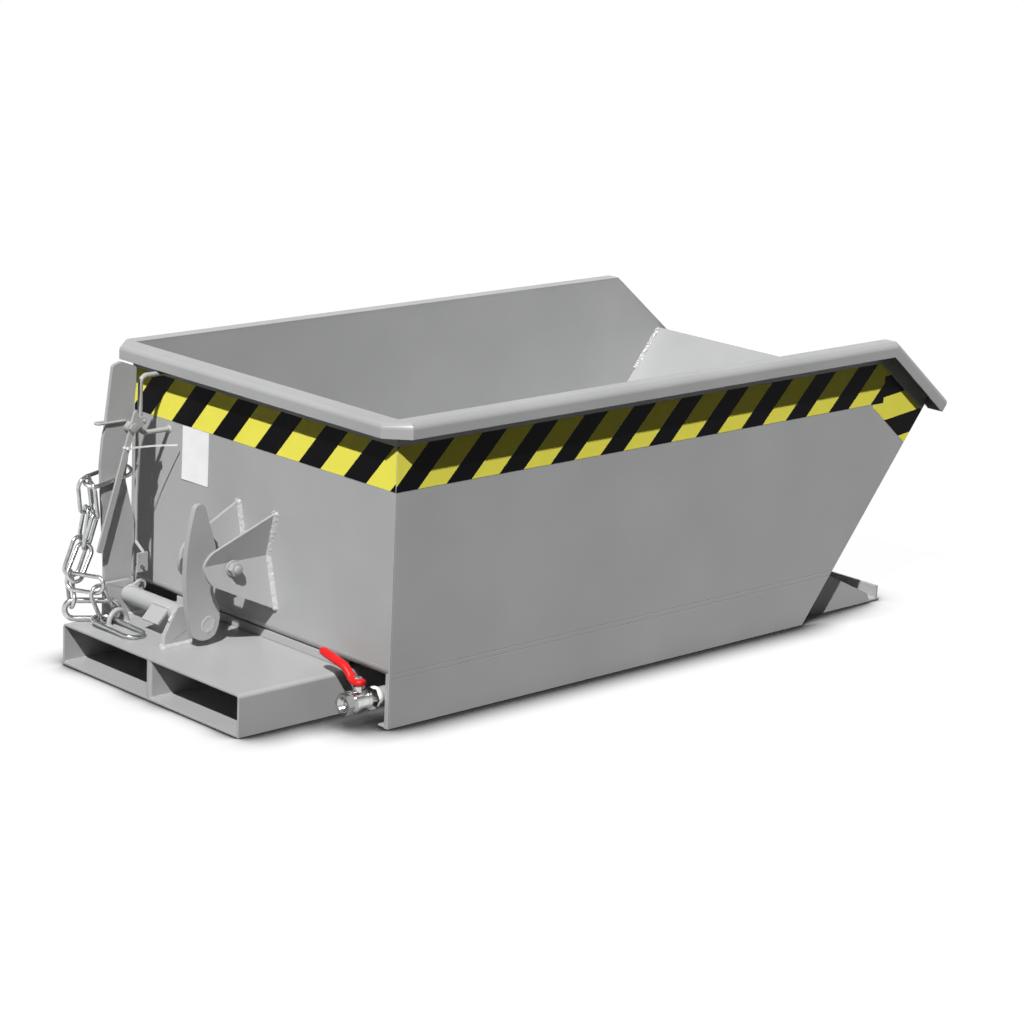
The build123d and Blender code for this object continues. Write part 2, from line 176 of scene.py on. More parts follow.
def bumpFrom(mat, shader, height, distance, strength):
    bump = put(mat, "Bump", Strength=strength, Distance=distance, Height=height)
    feed(mat, shader.inputs["Normal"], bump.outputs["Normal"])


# grey paint, a little cloudy and scuffed; the side panels have two faint lines at the height of the tub's floor,
# shallow grooves darkened with painted shade
paintLook = {"dark": (0.385, 0.387, 0.388), "light": (0.425, 0.427, 0.428), "cloudGrain": 4.0,
             "scuff": (0.50, 0.50, 0.50), "scuffGrain": 11.0, "scuffShare": 0.35,
             "scratchGrain": 60.0, "scratchStretch": (1.0, 1.0, 9.0), "scratchFrom": 0.71,
             "roughLow": 0.27, "roughHigh": 0.40, "roughGrain": 24.0, "specular": 0.30,
             "peelGrain": 420.0, "peelHeight": 0.35, "bumpDepth": 0.0006, "bump": 0.5}
# weld beads: the same grey paint, glossier, and a little lighter as a painted sheen for the highlights on their lumps
beadLook = {**paintLook, "dark": (0.42, 0.42, 0.42), "light": (0.50, 0.50, 0.50),
            "roughLow": 0.18, "roughHigh": 0.30, "specular": 0.5}
# painted shade for the side panels' two grooves: their heights, half width, shade colour and how strongly it darkens
# the grey
grooveShadeLook = {"levels": (0.116, 0.128), "half": 0.0012, "colour": (0.2, 0.2, 0.2), "share": 0.14}


def makePaint(name, look, grooveShade=None):
    mat, shader = startMaterial(name, specular=look["specular"])
    cloud = shade(mat, grain(mat, look["cloudGrain"]), look["dark"], look["light"])
    scratch = grain(mat, look["scratchGrain"], detail=2.0, stretch=look["scratchStretch"])
    deep = spread(mat, calc(mat, "GREATER_THAN", scratch, look["scratchFrom"]), 0.0, look["scuffShare"])
    scuffs = calc(mat, "MULTIPLY", deep, grain(mat, look["scuffGrain"]))
    colour = mixColour(mat, scuffs, cloud, look["scuff"])
    height = calc(mat, "MULTIPLY", grain(mat, look["peelGrain"], detail=2.0), look["peelHeight"])
    if grooveShade:
        z = objectAxes(mat)[2]
        for level in grooveShade["levels"]:
            off = calc(mat, "ABSOLUTE", calc(mat, "SUBTRACT", z, level))
            line = calc(mat, "SMOOTH_MIN", calc(mat, "DIVIDE", off, grooveShade["half"]), 1.0)
            height = calc(mat, "ADD", height, line)
            # painted shade: the grey darkens towards the middle of each groove
            colour = mixColour(mat, spread(mat, line, grooveShade["share"], 0.0), colour, grooveShade["colour"])
    feed(mat, shader.inputs["Base Color"], colour)
    rough = spread(mat, grain(mat, look["roughGrain"]), look["roughLow"], look["roughHigh"])
    feed(mat, shader.inputs["Roughness"], rough)
    bumpFrom(mat, shader, height, look["bumpDepth"], look["bump"])
    return mat


# metal, plastic and paper: one grain at three sizes for colour, roughness and bump
metalSizes = (1, 2, 4)
metalLook = {
    "zinc": {"dark": (0.47, 0.48, 0.49), "light": (0.67, 0.67, 0.67), "rough": (0.18, 0.28), "grain": 70.0,
             "bumpDepth": 0.0002, "bump": 0.35},
    "nickel": {"dark": (0.60, 0.60, 0.59), "light": (0.74, 0.74, 0.73), "rough": (0.10, 0.18), "grain": 45.0,
               "bumpDepth": 0.0002, "bump": 0.12},
}
plasticSizes = (1 / 6, 1 / 2, 4)
plasticLook = {
    "red": {"dark": (0.62, 0.009, 0.010), "light": (0.76, 0.015, 0.015), "rough": (0.30, 0.42), "grain": 300.0,
            "bumpDepth": 0.0003, "bump": 0.4},
    "white": {"dark": (0.78, 0.78, 0.77), "light": (0.88, 0.88, 0.87), "rough": (0.38, 0.52), "grain": 500.0,
              "bumpDepth": 0.0003, "bump": 0.4},
    "paper": {"dark": (0.88, 0.88, 0.88), "light": (0.95, 0.95, 0.95), "rough": (0.62, 0.8), "grain": 120.0,
              "bumpDepth": 0.0003, "bump": 0.4},
}


def makeGrained(name, look, sizes, **shine):
    mat, shader = startMaterial(name, **shine)
    broad, middle, fine = (grain(mat, look["grain"] * size) for size in sizes)
    feed(mat, shader.inputs["Base Color"], shade(mat, broad, look["dark"], look["light"]))
    feed(mat, shader.inputs["Roughness"], spread(mat, middle, *look["rough"]))
    bumpFrom(mat, shader, fine, look["bumpDepth"], look["bump"])
    return mat


# warning tape: millimetres for the stripes, metres for where they start
tapeLook = {"yellow": (0.93, 0.87, 0.115), "yellowWorn": (0.88, 0.81, 0.10), "worn": (-0.4, 1.1), "wornGrain": 18.0,
            "black": (0.003, 0.003, 0.004), "specular": 0.05, "rough": (0.34, 0.46), "roughGrain": 40.0,
            "bumpGrain": 30.0, "bumpDepth": 0.0008, "bump": 0.15, "blackWide": 76.5,
            "sidePeriod": 160.4, "sideStart": -94.8,
            "frontPeriod": 162.5, "frontStart": 0.137, "frontFrom": 1945.5, "frontBelow": 0.5455,
            "rearPeriod": 157.3, "rearStart": 0.3248, "rearLow": 0.5472, "rearLean": 0.884}


def stripeMask(mat, phase, look, period):
    turn = calc(mat, "FLOORED_MODULO", phase, look[period] / 1000)
    return calc(mat, "LESS_THAN", turn, look["blackWide"] / 1000)


def rearStripes(mat, look):
    _, y, z = objectAxes(mat)
    lean = calc(mat, "MULTIPLY", calc(mat, "SUBTRACT", z, look["rearLow"]), look["rearLean"])
    phase = calc(mat, "SUBTRACT", calc(mat, "SUBTRACT", look["rearStart"], y), lean)
    return stripeMask(mat, phase, look, "rearPeriod")


def sideStripes(mat, look):
    x, _, z = objectAxes(mat)
    phase = calc(mat, "SUBTRACT", calc(mat, "SUBTRACT", x, z), at(look["sideStart"], 0, 0).x)
    sideMask = stripeMask(mat, phase, look, "sidePeriod")
    # the piece along the slanted edge has its stripes turned with the edge
    corner = at(rimBend["x"], 0, rimBend["z"])
    along = calc(mat, "MULTIPLY", calc(mat, "SUBTRACT", x, corner.x), math.sin(slope) - math.cos(slope))
    down = calc(mat, "MULTIPLY", calc(mat, "SUBTRACT", z, corner.z), math.cos(slope) + math.sin(slope))
    turned = calc(mat, "SUBTRACT", calc(mat, "SUBTRACT", along, down), look["frontStart"])
    frontMask = stripeMask(mat, turned, look, "frontPeriod")
    past = calc(mat, "GREATER_THAN", x, at(look["frontFrom"], 0, 0).x)
    onFront = calc(mat, "MAXIMUM", past, calc(mat, "LESS_THAN", z, look["frontBelow"]))
    both = put(mat, "Mix", data_type="FLOAT")
    for socket, value in ((0, onFront), (2, sideMask), (3, frontMask)):
        feed(mat, both.inputs[socket], value)
    return both.outputs[0]


def makeTape(name, look, stripes):
    mat, shader = startMaterial(name, specular=look["specular"])
    wear = spread(mat, grain(mat, look["wornGrain"], detail=5.0), *look["worn"])
    yellow = mixColour(mat, wear, look["yellow"], look["yellowWorn"])
    feed(mat, shader.inputs["Base Color"], mixColour(mat, stripes(mat, look), yellow, look["black"]))
    feed(mat, shader.inputs["Roughness"], spread(mat, grain(mat, look["roughGrain"]), *look["rough"]))
    bumpFrom(mat, shader, grain(mat, look["bumpGrain"], detail=4.0), look["bumpDepth"], look["bump"])
    return mat


greyPaint = makePaint("grey_paint", paintLook)
grooveShadedPaint = makePaint("grey_paint_groove_shaded", paintLook, grooveShadeLook)
beadPaint = makePaint("grey_paint_on_welds", beadLook)
zincSteel = makeGrained("bright_zinc", metalLook["zinc"], metalSizes, metallic=1.0)
nickelBrass = makeGrained("nickel_plate", metalLook["nickel"], metalSizes, metallic=1.0)
redSleeve = makeGrained("red_sleeve", plasticLook["red"], plasticSizes, specular=0.35)
whitePlastic = makeGrained("white_plastic", plasticLook["white"], plasticSizes, specular=0.35)
whiteCard = makeGrained("white_card", plasticLook["paper"], plasticSizes, specular=0.35)
rearTape = makeTape("warning_tape_rear", tapeLook, rearStripes)
sideTape = makeTape("warning_tape_side", tapeLook, sideStripes)
print("materials made")

# finishes of the frame's own nodes
finishOf = {
    "zinc_steel": zincSteel, "chrome_brass": nickelBrass, "red_sleeve": redSleeve, "white_card": whiteCard,
    "white_tie": whitePlastic, "warning_tape": sideTape, "grey_paint": greyPaint,
}
ownFinish = {"tape_rear": rearTape, "side_panel_left": grooveShadedPaint, "side_panel_right": grooveShadedPaint}
for row in frame["record"]["subparts"]:
    part = nodes[row["node"]]
    part.data.materials.clear()
    part.data.materials.append(ownFinish.get(row["node"], finishOf[row["material_slot"]]))

# plate edges are broken a little, as a grinder and paint leave them
edgeWidth = {
    "pocket_cover": 0.9, "pocket_bottom": 0.9, "pocket_end_plate": 1.2, "nose_floor": 1.2,
    "shaft_bracket_inner": 1.4, "shaft_bracket_outer": 1.4, "mast_post": 1.4,
    "catch_ear_left": 1.2, "catch_ear_right": 1.2, "latch_hook": 1.6, "latch_pedal": 1.0, "latch_lug": 1.0,
    "release_lever": 1.2, "rest_bar_rear": 1.2, "rest_bar_front": 1.2, "hinge_lug_left": 1.4, "hinge_lug_right": 1.4,
    "side_panel_left": 0.8, "side_panel_right": 0.8, "tub_sheet": 0.8, "rear_wall": 0.6, "rim_rear": 0.8,
    "rim_side_left": 0.8, "rim_side_right": 0.8, "rim_slant_left": 0.8, "rim_slant_right": 0.8, "valve_body": 0.8,
    "skirt_edge_left": 0.8, "skirt_edge_right": 0.8,
}
edgeLook = {"merge": 0.00002, "segments": 2, "angle": 40, "evenWeight": 80}
foldAngle = {"catch_ear_left": 20, "catch_ear_right": 20}  # softens the ears' folds as well
for name, width in edgeWidth.items():
    part = nodes[name]
    join = part.modifiers.new("join", "WELD")
    join.merge_threshold = edgeLook["merge"]
    soften = part.modifiers.new("soften", "BEVEL")
    soften.width = width / 1000
    soften.segments = edgeLook["segments"]
    soften.limit_method = "ANGLE"
    soften.angle_limit = math.radians(foldAngle.get(name, edgeLook["angle"]))
    soften.use_clamp_overlap = True
    even = part.modifiers.new("even", "WEIGHTED_NORMAL")
    even.keep_sharp = False
    even.weight = edgeLook["evenWeight"]
print("frame nodes finished")


# mesh helpers: a piece from points and faces, a sweep along a path, a turned piece, a hexagon head
def makePiece(name, verts, faces, finish, body, slotName, sharp=40):
    mesh = bpy.data.meshes.new(name)
    mesh.from_pydata([tuple(v) for v in verts], [], faces)
    mesh.validate()
    mesh.shade_smooth()
    mesh.set_sharp_from_angle(angle=math.radians(sharp))
    mesh.materials.append(finish)
    piece = bpy.data.objects.new(name, mesh)
    scene.collection.objects.link(piece)
    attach(piece, body)
    return piece


def joined(*shells):
    verts, faces = [], []
    for shellVerts, shellFaces in shells:
        base = len(verts)
        verts += shellVerts
        faces += [tuple(i + base for i in face) for face in shellFaces]
    return verts, faces


def bandFaces(rows, sides, closed=False):
    faces = []
    for i in range(rows if closed else rows - 1):
        this, after = i * sides, (i + 1) % rows * sides
        for j in range(sides):
            k = (j + 1) % sides
            faces.append((this + j, this + k, after + k, after + j))
    return faces


def endFaces(rows, sides):
    return [tuple(range(sides))[::-1], tuple(range((rows - 1) * sides, rows * sides))]


def evenPath(corners, step, closed=False):
    ends = list(corners) + ([corners[0]] if closed else [])
    points = []
    for start, end in zip(ends, ends[1:]):
        count = max(1, round((end - start).length / step))
        points += [start.lerp(end, i / count) for i in range(count)]
    if not closed:
        points.append(ends[-1])
    return points


def sweep(path, profile, sizes, closed=False, hint=(0.0, 0.0, 1.0)):
    count, sides = len(path), len(profile)
    verts = []
    side = Vector(hint)
    for i, point in enumerate(path):
        before = path[i - 1] if closed or i > 0 else point
        after = path[(i + 1) % count] if closed or i < count - 1 else point
        ahead = (after - before).normalized()
        side = side - ahead * side.dot(ahead)
        if side.length < 0.001:
            side = ahead.orthogonal()
        side.normalize()
        other = ahead.cross(side)
        wide, thick = sizes[i] if isinstance(sizes[i], tuple) else (sizes[i], sizes[i])
        verts += [point + side * (u * wide) + other * (v * thick) for u, v in profile]
    return verts, bandFaces(count, sides, closed) + ([] if closed else endFaces(count, sides))


def ringProfile(radius, sides):
    angles = [2 * math.pi * j / sides for j in range(sides)]
    return [(radius * math.cos(angle), radius * math.sin(angle)) for angle in angles]


def turned(profile, origin, axis, steps=48):
    axis = Vector(axis).normalized()
    side = axis.orthogonal().normalized()
    other = axis.cross(side)
    verts = []
    for radius, along in profile:
        for j in range(steps):
            angle = 2 * math.pi * j / steps
            verts.append(origin + axis * along + (side * math.cos(angle) + other * math.sin(angle)) * radius)
    return verts, bandFaces(len(profile), steps) + endFaces(len(profile), steps)


# the chamfer falls off from near the flats to the corners; shares of the reach
headLook = {"foot": 0.985, "footRise": 0.0004, "chamferFrom": 0.97, "chamferFall": 0.58, "top": 0.94}


def hexHead(origin, axis, corner, thick, steps=72):
    axis = Vector(axis).normalized()
    side = Vector((1, 0, 0)) if abs(axis.x) < 0.9 else Vector((0, 1, 0))
    other = axis.cross(side)
    flat = corner * math.cos(math.pi / 6)
    rings = [[], [], [], []]
    for j in range(steps):
        angle = 2 * math.pi * j / steps
        reach = flat / math.cos(angle % (math.pi / 3) - math.pi / 6)
        drop = max(0.0, reach - flat * headLook["chamferFrom"]) * headLook["chamferFall"]
        spoke = side * math.cos(angle) + other * math.sin(angle)
        rings[0].append(origin + spoke * reach * headLook["foot"])
        rings[1].append(origin + spoke * reach + axis * headLook["footRise"])
        rings[2].append(origin + spoke * reach + axis * (thick - drop))
        rings[3].append(origin + spoke * flat * headLook["top"] + axis * thick)
    return sum(rings, []), bandFaces(4, steps) + endFaces(4, steps)


# weld beads along the seams that the photograph shows and the ones that carry the load
weldLook = {"step": 0.0018, "sides": 11, "ends": (0.45, 0.8), "uneven": 0.16, "unevenGrain": 45, "wander": 0.15,
            "wanderGrain": 90, "blobs": 0.24, "blobGrain": 190, "grit": 0.15, "gritGrain": 520, "sharp": 80, "seed": 5}
noise.seed_set(weldLook["seed"])  # vector noise starts from the clock without it


def weldShell(corners, radius, closed, look):
    size = radius / 1000
    path = evenPath(corners, look["step"], closed)
    sizes = [1 + look["uneven"] * noise.noise(p * look["unevenGrain"]) for p in path]
    if not closed:
        for i, share in enumerate(look["ends"]):
            sizes[i] *= share
            sizes[-1 - i] *= share
    path = [p + noise.noise_vector(p * look["wanderGrain"]) * (look["wander"] * size) for p in path]
    verts, faces = sweep(path, ringProfile(size, look["sides"]), sizes, closed)
    blobs, grit = look["blobs"] * size, look["grit"] * size
    rough = []
    for v in verts:
        lump = noise.noise_vector(v * look["blobGrain"]) * blobs
        rough.append(v + lump + noise.noise_vector(v * look["gritGrain"]) * grit)
    return rough, faces


def weldPiece(name, body, *shells):
    return makePiece(name, *joined(*shells), beadPaint, body, "grey_paint", sharp=weldLook["sharp"])


# radius in millimetres, one bead for each run of points; a closed run goes all the way round
def weldBeads(name, body, radius, runs, closed=False):
    return weldPiece(name, body, *[weldShell(run, radius, closed, weldLook) for run in runs])


def circle(x, y, z, radius, axis, count=40, first=0.0, last=360.0):
    points = []
    whole = last - first >= 360
    for j in range(count if whole else count + 1):
        angle = math.radians(first + (last - first) * j / count)
        c, s = radius * math.cos(angle), radius * math.sin(angle)
        points.append({"x": at(x, y + c, z + s), "y": at(x + c, y, z + s), "z": at(x + c, y + s, z)}[axis])
    return points


# a fillet fills the corner between two plates, rough on its open side
filletLook = {"rays": 9, "sink": 0.0012, "from": -8, "turn": 106, "flat": 0.22, "end": 0.35, "endGrow": 0.22,
              "lumpGrain": 120, "rippleGrain": 300}
seamLook = {
    "tub": {"reach": 0.0082, "lumps": 0.34, "ripple": 0.42, "step": 0.0013},
    "ear": {"reach": 0.0088, "lumps": 0.20, "ripple": 0.15, "step": 0.0015},
}


def filletShell(start, end, alongPanel, alongPlate, look):
    path = evenPath([start, end], look["step"])
    rays, last = filletLook["rays"], len(path) - 1
    verts = []
    for i, p in enumerate(path):
        taper = min(1.0, filletLook["end"] + filletLook["endGrow"] * min(i, last - i))
        verts.append(p - (alongPanel + alongPlate) * filletLook["sink"])
        for j in range(rays):
            angle = math.radians(filletLook["from"] + filletLook["turn"] * j / (rays - 1))
            ray = alongPanel * math.cos(angle) + alongPlate * math.sin(angle)
            spot = p + ray * look["reach"]
            lump = look["lumps"] * noise.noise(spot * filletLook["lumpGrain"])
            swell = 1 + lump + look["ripple"] * noise.noise(spot * filletLook["rippleGrain"])
            flat = 1 - filletLook["flat"] * math.sin(math.radians(180 * j / (rays - 1)))
            verts.append(p + ray * (look["reach"] * taper * swell * flat))
    return verts, bandFaces(len(path), rays + 1) + endFaces(len(path), rays + 1)


# the folded catch ears on the rear wall: corners of their outer line as y and z, welded on both faces
earLook = {"line": ((73.1, 410), (48.0, 306), (79.9, 182)), "thick": 8.24, "overlap": 0.004}


def earSeams(sign, look):
    shells = []
    for (y0, z0), (y1, z1) in zip(look["line"], look["line"][1:]):
        run = math.hypot(y1 - y0, z1 - z0)
        outward = Vector((0, sign * (z0 - z1) / run, (y1 - y0) / run))
        for inset, away in ((0.0, outward), (look["thick"], -outward)):
            top, low = at(wallFace, sign * (y0 - inset), z0), at(wallFace, sign * (y1 - inset), z1)
            over = (low - top).normalized() * look["overlap"]
            shells.append(filletShell(top - over, low + over, away, Vector((-1, 0, 0)), seamLook["ear"]))
    return shells


bothSides = (("right", -1), ("left", 1))
for sideName, sign in bothSides:
    weldPiece("weld_ear_" + sideName, "hopper", *earSeams(sign, earLook))


# around the foot of a plate on the base
def footLoop(x0, x1, y0, y1):
    return [at(x, y, deckTop) for x, y in ((x0, y0), (x1, y0), (x1, y1), (x0, y1))]


def aroundShaft(y, radius, *arc):
    return circle(shaftAxis["x"], y, shaftAxis["z"], radius, "y", *arc)


bracketFeet = [footLoop(75, 204, 40, 52), footLoop(94, 204, 298, 308)]
weldBeads("weld_shaft_brackets", "base", 7.4, bracketFeet, closed=True)
weldBeads("weld_post_foot", "base", 5.6, [footLoop(108, 185, 316, 326)], closed=True)
eyeFeet = [circle(x, y, 100.4, 6.8, "z") for x, y in ((73, 250), (127, 255.5))]
weldBeads("weld_ring_eye", "base", 3.2, eyeFeet, closed=True)
weldBeads("weld_hook", "latch", 3.6, [aroundShaft(7.8, 22.5, 60)], closed=True)

# the shaft's end is welded flush into the hook plate: a low uneven ridge inside a ragged edge
plugLook = {"radius": 21.5, "rings": 12, "spokes": 56, "faceY": -7.5, "backY": -6.9, "noiseLayer": 3.7,
            "edgeWander": 0.06, "edgeGrain": 3.1, "edgeSink": -0.4, "rise": 1.15, "mostRise": 1.3,
            "dish": 0.18, "ridge": 0.82, "ridgeAt": 0.78, "ridgeWide": 0.19,
            "level": 0.62, "lumps": 0.9, "lumpGrain": 3.6, "grit": 0.45, "gritGrain": 9.0}


def plugRise(share, spot, look):
    ridge = look["dish"] + look["ridge"] * math.exp(-((share - look["ridgeAt"]) / look["ridgeWide"]) ** 2)
    lumps = look["lumps"] * noise.noise(spot * look["lumpGrain"])
    rough = look["level"] + lumps + look["grit"] * noise.noise(spot * look["gritGrain"])
    return min(look["rise"] * ridge * max(0.0, rough), look["rise"] * look["mostRise"])


def plugShell(look):
    verts = []
    rings, spokes = look["rings"], look["spokes"]
    for i in range(rings + 1):
        share = i / rings
        for j in range(spokes):
            angle = 2 * math.pi * j / spokes
            spot = Vector((share * math.cos(angle), share * math.sin(angle), look["noiseLayer"]))
            ragged = 1 + look["edgeWander"] * share * noise.noise(spot * look["edgeGrain"])
            reach = look["radius"] * share * ragged
            rise = look["edgeSink"] if i == rings else plugRise(share, spot, look)
            x, z = shaftAxis["x"] + reach * math.cos(angle), shaftAxis["z"] + reach * math.sin(angle)
            verts.append(at(x, look["faceY"] - rise, z))
    faces = bandFaces(rings + 1, spokes)
    rim = len(verts) - spokes
    verts.append(at(shaftAxis["x"], look["backY"], shaftAxis["z"]))
    faces += [(rim + j, rim + (j + 1) % spokes, len(verts) - 1) for j in range(spokes)]
    return verts, faces


weldPiece("weld_hook_plug", "latch", plugShell(plugLook))
weldBeads("weld_shaft_lug", "latch", 2.6, [aroundShaft(y, 22.2, 24, -12, 105) for y in (283.6, 292.4)])
pedalSeams = [[at(x, y, z) for y in (118, 178)] for x, z in ((145.7, 163.2), (142.6, 150.6))]
weldBeads("weld_pedal", "latch", 3.2, pedalSeams)
handleFeet = [circle(303.6, 335, z, 6.6, "x") for z in (664, 526)]
weldBeads("weld_grab_handle", "hopper", 2.6, handleFeet, closed=True)

# the front plate is welded to the side panels in stretches
plateLook = {"along": 232.4, "y": 476, "stretches": ((500, 400), (300, 205), (156, 15))}


def plateSeams(look):
    intoTub = (onSlant(0, 0, 0) - onSlant(1, 0, 0)).normalized()
    shells = []
    for sign in (-1, 1):
        for low, high in look["stretches"]:
            start, end = (onSlant(look["along"], inward, sign * look["y"]) for inward in (low, high))
            shells.append(filletShell(start, end, intoTub, Vector((0, -sign, 0)), seamLook["tub"]))
    return shells


weldPiece("weld_tub_front", "hopper", *plateSeams(plateLook))
floorSeams = [[at(x, sign * 472.4, 126.5) for x in (326, 1752)] for sign in (-1, 1)]
weldBeads("weld_tub_floor", "hopper", 3.6, floorSeams)
drainFoot = circle(430, valveAxis["y"], floorUnder, 22.0, "z", 60)
weldBeads("weld_drain_pipe", "hopper", 4.0, [drainFoot], closed=True)
lugSeams = [[at(x, sign * y, floorUnder) for x in (1642, 1752)] for sign in (-1, 1) for y in (417, 429)]
weldBeads("weld_hinge_lugs", "hopper", 3.6, lugSeams)
restSeams = [[at(x, y, 120.6) for y in (-298, 298)] for x in (341, 1480, 1510)]
weldBeads("weld_rest_bars", "hopper", 3.4, restSeams)
pinSeams = [circle(1785, sign * 439.4, 92, 18.2, "y", 48) for sign in (-1, 1)]
weldBeads("weld_hinge_pins", "base", 2.6, pinSeams, closed=True)
noseSeams = [[at(x, sign * 430.6, 6.4) for x in (1570, 1996)] for sign in (-1, 1)]
noseSeams += [[at(1568.4, sign * 430.6, z) for z in (8, 99)] for sign in (-1, 1)]
weldBeads("weld_nose", "base", 3.6, noseSeams)

# the fork pockets are stitched: short beads at intervals along the divider and the cover's sides
stitchLook = {"starts": (3, 300, 700, 1100), "length": 70, "dividerY": (-9.6, 9.6), "sideY": (-323.6, 323.6),
              "lowZ": 6.3, "highZ": 93.7}


def stitches(look):
    low, high = look["lowZ"], look["highZ"]
    lines = [(x, y, z) for x in look["starts"] for y in look["dividerY"] for z in (low, high)]
    lines += [(x, y, low) for x in look["starts"] for y in look["sideY"]]
    return [[at(x, y, z), at(x + look["length"], y, z)] for x, y, z in lines]


weldBeads("weld_pockets", "base", 2.8, stitches(stitchLook))
weldBeads("weld_bracket_edge", "base", 5.4, [[at(92.5, 46, 157), at(108, 46, 184)]])
toeSeam = [at(x, y, 100.6) for x, y in ((68, 44), (69, 34.5), (150, 34.5))]
weldBeads("weld_bracket_toe", "base", 6.6, [toeSeam])

# small plates that close the corner between the side panel and the end of its rim
gussetLook = {"along": (250.0, 276.6), "depth": (4.0, 36.6), "thick": 4.0}


def gussetShell(look, sign):
    corners = [(along, inward) for along in look["along"] for inward in look["depth"]]
    layers = (panelFace, panelFace - look["thick"])
    verts = [onSlant(along, inward, sign * y) for y in layers for along, inward in corners]
    return verts, [(0, 1, 3, 2), (4, 6, 7, 5), (0, 4, 5, 1), (2, 3, 7, 6), (0, 2, 6, 4), (1, 5, 7, 3)]


for sideName, sign in bothSides:
    makePiece("rim_end_gusset_" + sideName, *gussetShell(gussetLook, sign), greyPaint, "hopper", "grey_paint")
print("weld beads and gussets laid")

# bolts with chamfered heads, washers and thread ends: places in millimetres, sizes in metres
catchBolt = {"x": 192, "z": 294, "radius": 0.010, "corner": 0.017, "headY": 56, "headThick": 0.012, "endY": -81,
             "nutY": -60, "nutThick": 0.015, "washerY": (-60, -56), "washerRadius": 0.019}
leverBolt = {"x": 170, "z": 553, "radius": 0.008, "corner": 0.012, "headY": 297.5, "headThick": 0.0075, "endY": 336,
             "nutY": 326, "nutThick": 0.008, "washerY": (304.5, 316), "washerRadius": 0.013}
boltLook = {"intoHead": 0.0005, "thread": 0.024, "pitch": 0.0018, "root": 0.92, "crest": (0.45, 0.55), "tip": 0.84,
            "washerEdge": 0.0006}


def boltAhead(spec):
    return 1 if spec["endY"] > spec["headY"] else -1


def threadProfile(radius, start, end, look):
    pitch, root = look["pitch"], radius * look["root"]
    profile = []
    along = start
    while along < end - pitch:
        profile += [(root, along)] + [(radius, along + pitch * share) for share in look["crest"]]
        along += pitch
    return profile + [(root, along), (radius * look["tip"], end)]


def boltShell(spec):
    seat, ahead = at(spec["x"], spec["headY"], spec["z"]), boltAhead(spec)
    length = abs(spec["endY"] - spec["headY"]) / 1000
    threadFrom = length - boltLook["thread"]
    shank = [(spec["radius"], -boltLook["intoHead"]), (spec["radius"], threadFrom)]
    shank += threadProfile(spec["radius"], threadFrom, length, boltLook)
    head = hexHead(seat, (0, -ahead, 0), spec["corner"], spec["headThick"])
    return joined(head, turned(shank, seat, (0, ahead, 0)))


def washerShell(spec):
    (y0, y1), radius = spec["washerY"], spec["washerRadius"]
    thick = (y1 - y0) / 1000
    edge = boltLook["washerEdge"]
    disc = [(radius - edge, 0), (radius, edge), (radius, thick - edge), (radius - edge, thick)]
    return turned(disc, at(spec["x"], y0, spec["z"]), (0, 1, 0))


def nutShell(spec):
    seat = at(spec["x"], spec["nutY"], spec["z"])
    return hexHead(seat, (0, boltAhead(spec), 0), spec["corner"], spec["nutThick"])


bolt = makePiece("catch_bolt_turned", *boltShell(catchBolt), greyPaint, "hopper", "grey_paint")
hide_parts("catch_bolt")
nutAndWasher = joined(nutShell(catchBolt), washerShell(catchBolt))
nut = makePiece("catch_nut_turned", *nutAndWasher, greyPaint, "hopper", "grey_paint")
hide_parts("catch_nut")
pivotShells = joined(boltShell(leverBolt), washerShell(leverBolt), nutShell(leverBolt))
pivotBolt = makePiece("lever_bolt_turned", *pivotShells, greyPaint, "base", "grey_paint")
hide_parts("lever_bolt")
print("bolts made")

# red lever of the valve, a bent strip in a dipped sleeve: y and z along it, then half its width and thickness there
sleeveLook = {
    "route": ((-448.5, 109.6), (-442, 109.6), (-430, 109.6), (-418, 110), (-409, 113.6), (-400, 121.5), (-391, 129),
              (-380, 134.8), (-362, 139), (-340, 143.6), (-318, 148.2), (-306, 150.8), (-300, 152)),
    "half": ((7, 6.4), (13.5, 8.4), (15.6, 8.8), (14.0, 8.6), (11.6, 8.4), (10.4, 8.2), (10.0, 8.2),
             (10.4, 8.8), (10.8, 9.2), (11.0, 9.4), (10.8, 9.2), (9.4, 8.0), (4.5, 4.0)),
    "leastHalf": 0.5, "steps": 72, "corners": 24, "power": 2.5,
}
stemNutLook = {"z": 115.6, "corner": 0.0092, "thick": 0.0062}


# a smooth curve through the given values, read at a share of its run
def smoothRun(values, share):
    place = share * (len(values) - 1)
    i = min(int(place), len(values) - 2)
    t = place - i
    p0, p1, p2, p3 = values[max(i - 1, 0)], values[i], values[i + 1], values[min(i + 2, len(values) - 1)]
    return tuple(0.5 * (2 * b + (c - a) * t + (2 * a - 5 * b + 4 * c - d) * t * t + (3 * b - a - 3 * c + d) * t ** 3)
                 for a, b, c, d in zip(p0, p1, p2, p3))


def sleeveShell(look):
    shares = [i / look["steps"] for i in range(look["steps"] + 1)]
    path = [at(stemX, *smoothRun(look["route"], share)) for share in shares]
    halves = [tuple(max(v, look["leastHalf"]) / 1000 for v in smoothRun(look["half"], share)) for share in shares]
    shape = []
    for j in range(look["corners"]):
        angle = 2 * math.pi * (j + 0.5) / look["corners"]
        shape.append([math.copysign(abs(c) ** (2 / look["power"]), c) for c in (math.cos(angle), math.sin(angle))])
    return sweep(path, shape, halves, hint=(1.0, 0.0, 0.0))


redLever = makePiece("valve_lever_sleeved", *sleeveShell(sleeveLook), redSleeve, "valve", "red_sleeve", sharp=60)
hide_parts("valve_lever")
stemTop = at(stemX, valveAxis["y"], stemNutLook["z"])
stemNutShell = hexHead(stemTop, (0, 0, 1), stemNutLook["corner"], stemNutLook["thick"])
stemNut = makePiece("valve_nut_turned", *stemNutShell, zincSteel, "valve", "chrome_brass")
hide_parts("valve_nut")

